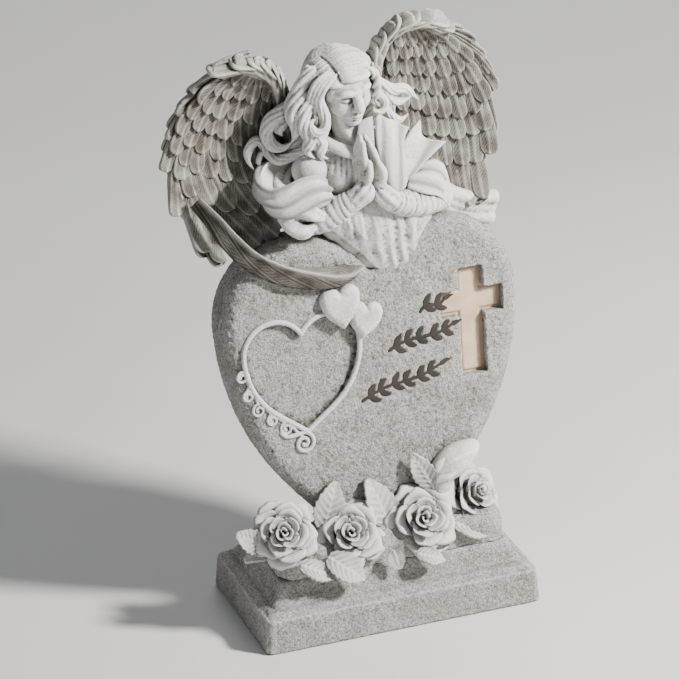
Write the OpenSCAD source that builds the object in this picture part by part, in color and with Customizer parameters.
// Memorial garden figurine: an angel praying over a heart-shaped stone, with a
// cross-shaped window lit by a small solar lamp unit set in the stone's back.
// Frame: origin at the centre of the plinth's underside, +X to the right seen from
// the front, +Y to the back, +Z up. Millimetres.

/* [Plinth] */
// Width of the plinth at the ground
plinth_w = 140; // [138:1:144]
// Depth of the plinth at the ground
plinth_d = 78; // [76:1:82]
// Height of the plinth's upper tier
plinth_h = 30.5; // [30:0.5:31]

/* [Heart stone] */
// Thickness of the heart stone
stone_t = 28; // [28:0.5:29]
// Backward lean of the heart stone in degrees
stone_tilt = 7.3; // [7:0.1:7.6]
// Front face of the heart stone at ground level, behind (+) or before (-) the origin
stone_y = -18.5; // [-19:0.5:-18]
// Radius of the heart's two lobes
lobe_r = 40.2; // [39.9:0.1:40.6]

/* [Cross window] */
// Width of the cross's bars
cross_bar = 12.7; // [11:0.1:14]
// Height of the cross
cross_h = 53.7; // [52:0.1:55]
// Span of the cross's arms
cross_span = 31.8; // [30:0.1:33]

/* [Lamp unit] */
// Width of the pocket for the lamp unit
unit_w = 72; // [72:0.5:73]
// Height of the pocket for the lamp unit
unit_h = 54; // [54:0.5:54.5]
// Side of the square solar panel
panel_s = 46; // [42:1:46]
// Travel of the power switch
switch_travel = 3; // [2:0.5:3]

/* [Hidden] */

STONE = "lightgray";
CARVED = "gainsboro";
glue = 0.15;                       // gap left for glue between cast pieces
curve_fn = 72;
ball_fn = 12;                      // facets of the balls that shape the figure

// Heart stone, drawn in its own leaning frame: x right, z up along the face, y = 0 the face
stone_x = 1.5;
lobe_x = 34;
lobe_z = 151.1;
stone_profile = [[0, 6], [0.8, 3.4], [2.4, 1.4], [6, 0], [13, 0], [19, 1.5], [24.5, 4.6], [28, 8]];
flank_r = 131;
flank_end = 41;
tenon = [40, 16, 8];
tenon_y = 4;

// Heart-shaped recess with a raised rim, for a small picture
frame_at = [-35.8, 138.7];
frame_lobe_r = 14.5;
frame_lobe_x = 13.4;
frame_flank_r = 37;
frame_flank_end = 53;
frame_bead = 2;
frame_depth = 2;

// Cross window
cross_x = 50.8;
cross_top = 164.5;
cross_drop = 11;                   // from the cross's top to its arms
window_y = 5;
window_t = 3;
window_flange = 2.5;

// Lamp unit, in the heart stone's frame
unit_x = 20;
unit_z = 136;
pocket_y = 10;
unit_gap = 0.2;
wall = 1.8;
tray_y0 = pocket_y + unit_gap;
tray_y1 = stone_t - 0.6;
board_y0 = tray_y0 + wall + 0.1;
board_t = 1.6;
gasket_t = 0.6;
gasket_y0 = stone_t + 0.05;
bezel_y0 = gasket_y0 + gasket_t + 0.05;
bezel_t = 2.6;
bezel_y1 = bezel_y0 + bezel_t;
bezel_size = [86, 66];
bezel_r = 6;
screw_dx = 39.5;
screw_dz = 24;
panel_x = 7.5;
panel_z = 140.5;
panel_t = 2;
wire_x = 28.5;
wire_z = [147, 151];
cell_x = 43;
cell_y = 20.2;
cell_r = 5.2;
cell_z0 = 115;
cell_l = 43.2;
holder_w = 13.2;
holder_z0 = 111.2;
holder_z1 = 160.8;
led_x = 48;
door_size = [17.6, 54];
door_z = 134.5;
door_t = 1.5;
door_screw_z = 114;
switch_x = 7.5;
switch_z = 113;
knob = 2.6;

// Figure: joints of the body
neck_low = [-1, 17, 231];
neck_high = [-4, 14, 243];
skull = [-7, 17, 259];
wing_peg_r = 4;
peg_left = [-9, 22, 218];
peg_right = [15, 22, 217];

// Roses: centre of the bloom and outer radius
rose_at = [[-53, -22, 54], [-21.5, -23.5, 47.5], [15.5, -22.5, 47.2], [48, -15, 49]];
rose_r = [15.6, 15.2, 16.4, 14.2];
rose_turn = [[52, 0, -16], [54, 0, -10], [56, 0, -4], [50, 0, 32]];

// ---- shared shapes ----

// Places children in the leaning frame of the heart stone
module on_stone() translate([0, stone_y, 0]) rotate([-stone_tilt, 0, 0]) children();

// Extrudes a drawing of x and z from depth y0 to depth y1
module plate(y0, y1) translate([0, y1, 0]) rotate([90, 0, 0]) linear_extrude(y1 - y0) children();

module rect(cx, cz, w, h) translate([cx - w / 2, cz - h / 2]) square([w, h]);

module round_rect(cx, cz, w, h, r) {
    rect(cx, cz, w - 2 * r, h);
    rect(cx, cz, w, h - 2 * r);
    for (sx = [-1, 1], sz = [-1, 1])
        translate([cx + sx * (w / 2 - r), cz + sz * (h / 2 - r)]) circle(r, $fn = 32);
}

// One side of the heart below its lobes: an arc, then a straight run to the point
function flank(edge, r, last) = concat(
    [for (a = [0 : last / 12 : last + 0.01]) [edge - r + r * cos(a), -r * sin(a)]],
    [[0, -r * sin(last) - (edge - r + r * cos(last)) / tan(last)]]);

// A heart with its lobes' centres on the x axis
module heart(lr, lx, fr, last) {
    side = flank(lx + lr, fr, last);
    for (s = [-1, 1]) translate([s * lx, 0]) circle(lr, $fn = curve_fn);
    polygon(concat([[0, sqrt(max(0, lr * lr - lx * lx))]], side,
        [for (i = [len(side) - 2 : -1 : 0]) [-side[i][0], side[i][1]]]));
}

module stone_outline(g = 0)
    translate([stone_x, lobe_z]) heart(lobe_r + g, lobe_x, flank_r + g, flank_end);

// One half of the heart stone's outline, inset by d
module half_outline(d, s) intersection() {
    stone_outline(-d);
    translate([stone_x + s * 49.5, 110]) square([100, 220], center = true);
}

module frame_outline(g = 0)
    translate(frame_at) heart(frame_lobe_r + g, frame_lobe_x, frame_flank_r + g, frame_flank_end);

module cross(g = 0) {
    rect(cross_x, cross_top - cross_h / 2, cross_bar + 2 * g, cross_h + 2 * g);
    rect(cross_x, cross_top - cross_drop - cross_bar / 2, cross_span + 2 * g, cross_bar + 2 * g);
}

// A thin slice of half the heart stone at entry k of its profile, grown by g
module stone_slice(k, s, g) translate([0, k[0] * (stone_t + 2 * g) / 28 - g, 0])
    plate(-0.01, 0) half_outline(k[1] - g, s);

// The heart stone's plain outer form, grown by g: a slab with a rounded front edge and
// a back that falls away
module stone_form(g = 0) intersection() {
    on_stone() for (s = [-1, 1], i = [0 : len(stone_profile) - 2]) hull() {
        stone_slice(stone_profile[i], s, g);
        stone_slice(stone_profile[i + 1], s, g);
    }
    translate([-100, -60, plinth_h]) cube([200, 140, 200]);
}

// The same space with sharp edges, for cutting what stands at the stone's foot
module stone_block() on_stone() plate(-glue, stone_t + glue) stone_outline(glue);

// A limb: balls of the given radii joined one after another
module limb(p, r, g = 0) for (i = [0 : len(p) - 2]) hull() {
    translate(p[i]) sphere(r[i] + g, $fn = ball_fn);
    translate(p[i + 1]) sphere(r[i + 1] + g, $fn = ball_fn);
}

module screw_holes(r, y0, y1) for (sx = [-1, 1], sz = [-1, 1])
    translate([unit_x + sx * screw_dx, y1, unit_z + sz * screw_dz])
        rotate([90, 0, 0]) cylinder(r = r, h = y1 - y0, $fn = 32);

// ---- plinth and heart stone ----

module tier(z0, in0, z1, in1, r = 3) hull() for (k = [[z0, in0], [z1 - 0.01, in1]])
    translate([0, 0, k[0]]) linear_extrude(0.01)
        round_rect(0, 0, plinth_w - 2 * k[1], plinth_d - 2 * k[1], r);

module plinth() color(STONE) difference() {
    union() {
        linear_extrude(1.5) round_rect(0, 0, plinth_w, plinth_d, 3);
        tier(1.5, 0, 17, 1.8);
        tier(17, 1.8, 20, 5);
        tier(20, 6, 24, 9.5);
        tier(24, 9.5, plinth_h, 12.6);
    }
    translate([0, tenon_y, plinth_h - tenon[2] / 2 + 0.5])
        cube([tenon[0] + 0.3, tenon[1] + 0.3, tenon[2] + 1.3], center = true);
}

module heart_stone() color(STONE) difference() {
    union() {
        stone_form();
        on_stone() plate(-1.4, 0.5) frame_outline(frame_bead);
        // foot behind the heart's point, and the tenon glued into the plinth
        translate([0, tenon_y, plinth_h + 9]) cube([48, 24, 18], center = true);
        translate([0, tenon_y, plinth_h - tenon[2] / 2 + 0.1])
            cube([tenon[0], tenon[1], tenon[2]], center = true);
    }
    on_stone() {
        plate(-2, frame_depth) frame_outline();
        plate(-1, pocket_y + 0.5) cross();
        plate(window_y, window_y + window_t + 0.2) cross(window_flange);
        plate(pocket_y, stone_t + 1) rect(unit_x, unit_z, unit_w, unit_h);
        screw_holes(1, stone_t - 9, stone_t + 1);
    }
}

module cross_window() color("navajowhite")
    on_stone() plate(window_y + 0.05, window_y + window_t + 0.1) cross(window_flange - 0.2);

// ---- roses ----

// A bloom: a cup with stepped rings of petals round a bud, opening along +z
module bloom(r, g = 0) rotate_extrude($fn = 48) polygon([
    [0, -0.95 * r - g], [0.35 * r + g, -0.9 * r - g], [0.7 * r + g, -0.5 * r],
    [r + g, 0], [r + g, 0.12 * r], [0.82 * r + g, 0.1 * r], [0.78 * r + g, 0.28 * r],
    [0.55 * r + g, 0.22 * r], [0.5 * r + g, 0.4 * r + g], [0, 0.44 * r + g]]);

module rose(i, g = 0) translate(rose_at[i]) rotate(rose_turn[i]) bloom(rose_r[i], g);

module roses(g = 0) for (i = [0 : 3]) rose(i, g);

module cut_rose(i) color(CARVED) difference() {
    rose(i);
    stone_block();
    translate([-80, -45, 0]) cube([160, 90, plinth_h + glue]);
}

module flower_mound() color(STONE) difference() {
    translate([-54, 0, 0]) rotate([90, 0, 90]) linear_extrude(108)
        polygon([[-25.5, plinth_h], [-4, plinth_h], [-4, 50], [-14, 48], [-24, 40]]);
    roses(glue);
    stone_block();
    translate([0, tenon_y, plinth_h + 9]) cube([48.3, 24.3, 18.3], center = true);
}

// A leaf of the given length, lying along +x
module leaf(l, w, t = 1.8) hull() {
    translate([l * 0.4, 0, 0]) cylinder(d = w, h = t, center = true, $fn = 20);
    translate([l, 0, 0]) cylinder(r = 0.6, h = t * 0.7, center = true, $fn = 8);
    cylinder(r = 1, h = t, center = true, $fn = 8);
}

// Each leaf: base, turn, length, width
leaf_list = [
    [[-31, -14, 50], [70, -40, -8], 22, 14],
    [[0, -14, 46], [70, -55, -6], 22, 15],
    [[-66, -14, 42], [60, -105, -20], 24, 13],
    [[-34, -27, 40], [20, 12, -118], 19, 13],
    [[-3, -27, 37], [25, 14, -96], 13, 11],
    [[34, -24, 40], [25, 14, -40], 20, 13],
    [[31, -13, 60], [74, -125, -8], 20, 12],
    [[-12, -27, 36], [20, 10, -150], 18, 10]
];

module rose_leaves() color(CARVED) difference() {
    for (k = leaf_list) translate(k[0]) rotate(k[1]) leaf(k[2], k[3]);
    roses(glue);
    stone_block();
    rose_bud_form(glue);
    translate([-54.2, 0, 0]) rotate([90, 0, 90]) linear_extrude(108.4)
        polygon([[-25.7, 0], [-3, 0], [-3, 50.2], [-14, 48.2], [-24.2, 40.2]]);
    translate([-80, -45, 0]) cube([160, 90, plinth_h + glue]);
}

module rose_bud_form(g = 0) limb(
    [[28, -10, 61], [34, -12, 66], [42, -11, 72], [47, -9, 77]], [5, 8, 7, 2.5], g);

module rose_bud() color(CARVED) difference() {
    rose_bud_form();
    roses(glue);
    stone_block();
}

// ---- the angel ----

module torso_form(g = 0) {
    limb([[9, 21, 180], [7, 20, 193], [4, 20, 208], [3, 20, 216]], [15, 12, 14.5, 12], g);
    limb([[-17, 22, 221], [3, 20, 222], [24, 22, 218]], [7.5, 10, 7.5], g);
    limb([[3, 19, 222], neck_low], [10, 7.5], g);
}

module torso() color(CARVED) difference() {
    torso_form();
    stone_form(glue);
    skirt_form(glue);
    // sockets for the neck and for the wings' pegs
    limb([neck_low, neck_high], [6 + glue, 6]);
    for (p = [peg_left, peg_right])
        translate(p - [0, glue, 0]) rotate([-90, 0, 0]) cylinder(r = wing_peg_r + glue, h = 30, $fn = 32);
}

module head_form(g = 0) {
    limb([skull, [-5, 10, 252], [-4, 7.5, 245.5]], [15.5, 13, 6.5], g);
    limb([neck_low, neck_high], [6, 6], g);
}

module head() color(CARVED) difference() {
    head_form();
    stone_form(glue);
}

hair_locks = [
    [[[-20, 18, 262], [-24, 17, 252], [-26, 17, 242], [-21, 13, 234]], [7, 7.5, 7, 5]],
    [[[-26, 20, 244], [-36, 24, 234], [-46, 26, 232], [-50, 25, 224]], [6, 4.5, 4, 3]],
    [[[7, 18, 262], [14, 19, 255], [24, 21, 251], [33, 22, 246]], [7, 6.5, 5, 3]],
    [[[12, 18, 252], [17, 19, 243], [22, 20, 236]], [6, 6, 4.5]]
];

module hair_form(g = 0) {
    translate(skull + [-1, 3, 1.5]) sphere(17.8 + g, $fn = 24);
    for (k = hair_locks) limb(k[0], k[1], g);
}

module hair() color(CARVED) difference() {
    hair_form();
    head_form(glue);
    // face opening
    translate([-8, -14, 246]) rotate([-20, 0, -14]) cube([22, 34, 28], center = true);
    torso_form(glue);
    arm_form(left_arm, glue);
    arm_form(right_arm, glue);
}

// Upper arm, forearm and hand, as joints and radii
left_arm = [
    [[-19, 20, 220], [-25, 14, 206], [-27, 12, 197], [-10, 5, 206], [-2, 1, 211],
     [-2.8, 1.5, 224], [-4, 4, 235]], [8, 7.5, 8.5, 5.6, 4.4, 3.4, 1.6]];
right_arm = [
    [[26, 20, 217], [34, 17, 206], [39, 15, 196.5], [16, 6, 202], [6, 1, 210],
     [2.6, 1.5, 223], [0, 4, 234]], [8, 7.5, 8.2, 6, 4.4, 3.4, 1.6]];

module arm_form(a, g = 0) limb(a[0], a[1], g);

module arm_left() color(CARVED) difference() {
    arm_form(left_arm);
    torso_form(glue);
    skirt_form(glue);
    stone_form(glue);
    head_form(glue);
}

module arm_right() color(CARVED) difference() {
    arm_form(right_arm);
    arm_form(left_arm, glue);
    torso_form(glue);
    skirt_form(glue);
    stone_form(glue);
    head_form(glue);
}

// Gown's folds that run down over the notch of the heart
module skirt_form(g = 0) for (k = [-1 : 2]) limb(
    [[10 + 7 * k, 10, 190], [10.5 + 7.5 * k, 3.5, 179], [11 + 7.5 * k, 3, 169 + abs(k) * 2]],
    [4.5, 4.6, 3], g);

module skirt() color(CARVED) difference() {
    skirt_form();
    stone_form(glue);
}

module shawl_left_form(g = 0) {
    limb([[-14, 31, 227], [-32, 32, 222], [-42, 26, 211], [-36, 15, 207], [-21, 8, 211]],
         [3, 4, 6.5, 7.5, 4.5], g);
    limb([[-27, 5, 206], [-32, 3, 198]], [5, 5], g);
}

module shawl_left() color(CARVED) difference() {
    shawl_left_form();
    torso_form(glue);
    arm_form(left_arm, glue);
    hair_form(glue);
    stone_form(glue);
}

module shawl_right_form(g = 0) {
    hull() for (p = [[28, 27, 209], [34, 26, 230], [45, 24, 219.5], [41, 25, 209]])
        translate(p) sphere(2 + g, $fn = ball_fn);
    limb([[40, 25, 208], [42, 25, 192], [54, 28, 186], [64, 32, 181], [72, 34, 175]],
         [3, 4.5, 5.5, 6, 6], g);
}

module shawl_right() color(CARVED) difference() {
    shawl_right_form();
    torso_form(glue);
    arm_form(right_arm, glue);
    hair_form(glue);
    stone_form(glue);
}

// A wing is a cupped shell cut to the outline of its feathers, with a thick leading
// edge and a peg that is glued into the angel's back
module wing(cup, cup_r, outline, edge, edge_r, peg, root) {
    intersection() {
        difference() {
            translate(cup) sphere(cup_r + 2.5, $fn = 60);
            translate(cup) sphere(cup_r - 2.5, $fn = 60);
        }
        plate(0, 60) polygon(outline);
    }
    limb(edge, edge_r);
    translate(peg) rotate([-90, 0, 0]) cylinder(r = wing_peg_r, h = 12, $fn = 32);
    limb([peg + [0, 13, 0], root], [4.2, 5]);
}

left_outline = [
    [-20, 204], [-31, 193], [-35, 186], [-44, 185], [-53, 182], [-61, 185], [-69.5, 181],
    [-77.5, 190], [-79.5, 201], [-82.5, 209], [-90, 207], [-87, 223], [-96, 231], [-91, 239],
    [-88, 249], [-84, 257], [-79, 269], [-70, 276], [-72, 279], [-63, 280.5], [-54, 281.5],
    [-47, 277.5], [-39, 270], [-35, 261], [-31, 249], [-26, 238], [-20, 226]];
left_edge = [[-23, 29, 226], [-30, 26, 240], [-34, 23, 254], [-39, 18, 267], [-47, 14, 275],
    [-56, 11.5, 279], [-66, 11, 278.5]];

right_outline = [
    [16, 208], [30, 198], [46, 187], [54, 185], [63, 186], [67, 198], [71, 209], [74, 217],
    [72.5, 222], [74.5, 229], [76, 238], [72.5, 240], [71.5, 247], [69.5, 255], [66, 256],
    [61.5, 263.5], [57.5, 272], [52.5, 272], [44.5, 280], [36, 287.5], [28.5, 289],
    [18.5, 288.5], [12.5, 282.5], [9.7, 273.5], [9.8, 265], [10.5, 252], [11, 238], [12, 222]];
right_edge = [[17, 31, 222], [13, 30, 240], [12, 26, 256], [13, 21, 272], [19, 16, 283],
    [28, 15, 286], [37, 18, 284.5], [46, 23, 278]];

// The torso grown by the glue gap, with the peg's own space left out
module torso_less_peg(peg) difference() {
    torso_form(glue);
    translate(peg) rotate([-90, 0, 0]) cylinder(r = wing_peg_r, h = 30, $fn = 32);
}

module wing_left() color(STONE) difference() {
    wing([-50, -54, 228], 86, left_outline, left_edge, [4.5, 4.5, 4, 3.6, 3.6, 3.2, 2.4],
         peg_left, [-22, 30, 222]);
    stone_form(glue);
    shawl_left_form(glue);
    hair_form(glue);
    draped_feather_form(glue);
    arm_form(left_arm, glue);
    torso_less_peg(peg_left);
}

module wing_right() color(STONE) difference() {
    wing([44, -52, 236], 90, right_outline, right_edge, [4.5, 4.5, 4.5, 4.5, 4.5, 4.5, 4, 3],
         peg_right, [20, 33, 220]);
    stone_form(glue);
    shawl_right_form(glue);
    hair_form(glue);
    arm_form(right_arm, glue);
    torso_less_peg(peg_right);
}

// The left wing's longest feather, which folds forward over the heart's lobe
module draped_feather_form(g = 0) limb(
    [[-79, 18, 206], [-68, 11, 196.5], [-56.5, 5.5, 189], [-45.5, 2.5, 182], [-33.5, 1.5, 176.8],
     [-21.5, 1, 172.8], [-9.5, 1, 172]], [2.5, 3, 3.8, 4.2, 4.5, 4.2, 3.2], g);

module draped_feather() color(CARVED) difference() {
    draped_feather_form();
    stone_form(glue);
    skirt_form(glue);
    arm_form(left_arm, glue);
}

// Two small raised hearts on the stone's face
module small_hearts() color(CARVED) difference() {
    on_stone() plate(-4, -glue) {
        translate([-15.9, 160.8]) rotate(4) heart(5.2, 4.5, 14.5, 47);
        translate([-3.3, 152]) rotate(-12) heart(4.5, 3.9, 12.5, 47);
    }
    on_stone() plate(-1.4 - glue, 1) frame_outline(frame_bead + glue);
    draped_feather_form(glue);
    skirt_form(glue);
}

// ---- lamp unit ----

module unit_tray() color("dimgray") on_stone() difference() {
    plate(tray_y0, tray_y1) rect(unit_x, unit_z, unit_w - 2 * unit_gap, unit_h - 2 * unit_gap);
    plate(tray_y0 + wall, stone_t)
        rect(unit_x, unit_z, unit_w - 2 * (unit_gap + wall), unit_h - 2 * (unit_gap + wall));
    plate(tray_y0 - 1, tray_y0 + wall + 1) rect(led_x - 2, unit_z, 14, 46);
}

module led_board() color("forestgreen") on_stone() difference() {
    plate(board_y0, board_y0 + board_t) rect(39.85, unit_z, 27.7, 49.2);
    for (z = wire_z)
        translate([wire_x, board_y0 + 3, z]) rotate([90, 0, 0]) cylinder(r = 0.5, h = 4, $fn = 24);
}

module leds() color("ivory") on_stone() for (k = [-1 : 1])
    translate([led_x, board_y0 - 0.05, unit_z + 15 * k]) rotate([90, 0, 0]) {
        cylinder(r = 1.5, h = 2, $fn = 32);
        translate([0, 0, 2]) sphere(1.5, $fn = 32);
        cylinder(r = 1.9, h = 0.6, $fn = 32);
    }

module battery_holder() color("black") on_stone() difference() {
    translate([cell_x - holder_w / 2, board_y0 + board_t + 0.1, holder_z0])
        cube([holder_w, 8, holder_z1 - holder_z0]);
    translate([cell_x, cell_y, holder_z0 + 1.5]) cylinder(r = cell_r + 0.15, h = 46.8, $fn = 48);
}

module battery() color("seagreen") on_stone() translate([cell_x, cell_y, cell_z0]) {
    cylinder(r = cell_r, h = cell_l, $fn = 48);
    cylinder(r = 1.9, h = cell_l + 0.8, $fn = 32);
}

// Closed coil under the cell, and the flat contact it stands on
module battery_spring() color("silver") on_stone() translate([cell_x, cell_y, holder_z0 + 1.9])
    for (k = [0 : 2]) translate([0, 0, 0.35 + 0.62 * k])
        rotate_extrude($fn = 48) translate([3.6 - 0.6 * k, 0]) circle(0.3, $fn = 16);

module battery_contact() color("silver") on_stone() for (z = [holder_z0 + 1.52, cell_z0 + cell_l + 0.82])
    translate([cell_x, cell_y, z]) cylinder(r = 4.6, h = 0.3, $fn = 48);

module lead_wires() color("firebrick") on_stone() for (z = wire_z)
    translate([wire_x, bezel_y1 - 1.75, z]) rotate([90, 0, 0])
        cylinder(r = 0.45, h = bezel_y1 - 1.75 - board_y0 - 0.4, $fn = 24);

module gasket() color("dimgray") on_stone() difference() {
    plate(gasket_y0, gasket_y0 + gasket_t)
        round_rect(unit_x, unit_z, bezel_size[0] - 1, bezel_size[1] - 1, bezel_r - 0.5);
    plate(gasket_y0 - 1, gasket_y0 + 2) rect(unit_x, unit_z, unit_w - 2, unit_h - 2);
    screw_holes(1.6, gasket_y0 - 1, gasket_y0 + 2);
}

module unit_bezel() color("dimgray") on_stone() difference() {
    union() {
        plate(bezel_y0, bezel_y1) round_rect(unit_x, unit_z, bezel_size[0], bezel_size[1], bezel_r);
        translate([cell_x, bezel_y0 + 0.5, door_screw_z])
            rotate([90, 0, 0]) cylinder(r = 2.4, h = 3.4, $fn = 32);
    }
    plate(bezel_y1 - 1.7, bezel_y1 + 1) rect(panel_x, panel_z, panel_s + 0.4, panel_s + 0.4);
    for (z = wire_z)
        translate([wire_x, bezel_y1, z]) rotate([90, 0, 0]) cylinder(r = 0.9, h = 4, $fn = 24);
    plate(bezel_y1 - door_t - 0.1, bezel_y1 + 1)
        rect(cell_x, door_z, door_size[0] + 0.4, door_size[1] + 0.4);
    plate(bezel_y0 - 1, bezel_y1 + 1) rect(cell_x, 138.5, 13.4, 42);
    translate([cell_x, bezel_y1, door_screw_z]) rotate([90, 0, 0]) cylinder(r = 1.1, h = 8, $fn = 32);
    plate(bezel_y0 - 1, bezel_y1 + 1) rect(switch_x, switch_z, 6.4, 3.2);
    screw_holes(1.6, bezel_y0 - 1, bezel_y1 + 1);
    screw_holes(2.9, bezel_y1 - 1.2, bezel_y1 + 1);
}

module solar_panel() color("midnightblue") on_stone()
    plate(bezel_y1 - 1.65, bezel_y1 - 1.65 + panel_t) rect(panel_x, panel_z, panel_s, panel_s);

module screw(l, head_r, shaft_r) {
    cylinder(r = shaft_r, h = l, $fn = 32);
    difference() {
        cylinder(r = head_r, h = 1.1, $fn = 32);
        for (a = [0, 90]) rotate(a) cube([head_r * 1.3, 0.6, 1.1], center = true);
    }
}

module bezel_screws() color("silver") on_stone() for (sx = [-1, 1], sz = [-1, 1])
    translate([unit_x + sx * screw_dx, bezel_y1 - 0.05, unit_z + sz * screw_dz])
        rotate([90, 0, 0]) screw(10, 2.7, 0.95);

module switch_body() color("gray") on_stone() difference() {
    plate(bezel_y0 - 5, bezel_y0 - 0.05) rect(switch_x, switch_z + 0.6, 10, 5);
    plate(bezel_y0 - 2.2, bezel_y0 + 1) rect(switch_x, switch_z, knob + switch_travel + 0.4, knob + 0.2);
}

module switch_knob() color("black") on_stone() {
    plate(bezel_y0 - 2.1, bezel_y1 + 0.3)
        rect(switch_x - switch_travel / 2, switch_z, knob, knob);
    plate(bezel_y1 + 0.2, bezel_y1 + 1.6)
        rect(switch_x - switch_travel / 2, switch_z, knob + 1, knob + 0.4);
}

module battery_door() color("dimgray") on_stone() difference() {
    plate(bezel_y1 - door_t, bezel_y1) rect(cell_x, door_z, door_size[0], door_size[1]);
    translate([cell_x, bezel_y1 + 1, door_screw_z]) rotate([90, 0, 0]) cylinder(r = 1.3, h = 4, $fn = 32);
    translate([cell_x, bezel_y1 + 1, door_screw_z]) rotate([90, 0, 0]) cylinder(r = 2.3, h = 2, $fn = 32);
    for (k = [-2 : 2]) plate(bezel_y1 - 0.5, bezel_y1 + 1) rect(cell_x, 151 + 2.2 * k, 10, 0.9);
}

module door_screw() color("silver") on_stone()
    translate([cell_x, bezel_y1 + 0.15, door_screw_z]) rotate([90, 0, 0]) screw(5, 2.1, 1);

plinth();
heart_stone();
cross_window();
flower_mound();
cut_rose(0);  // rose_1
cut_rose(1);  // rose_2
cut_rose(2);  // rose_3
cut_rose(3);  // rose_4
rose_bud();
rose_leaves();
torso();
head();
hair();
arm_left();
arm_right();
skirt();
shawl_left();
shawl_right();
wing_left();
wing_right();
draped_feather();
small_hearts();
unit_tray();
led_board();
leds();
battery_holder();
battery();
battery_spring();
battery_contact();
lead_wires();
gasket();
unit_bezel();
solar_panel();
bezel_screws();
switch_body();
switch_knob();
battery_door();
door_screw();
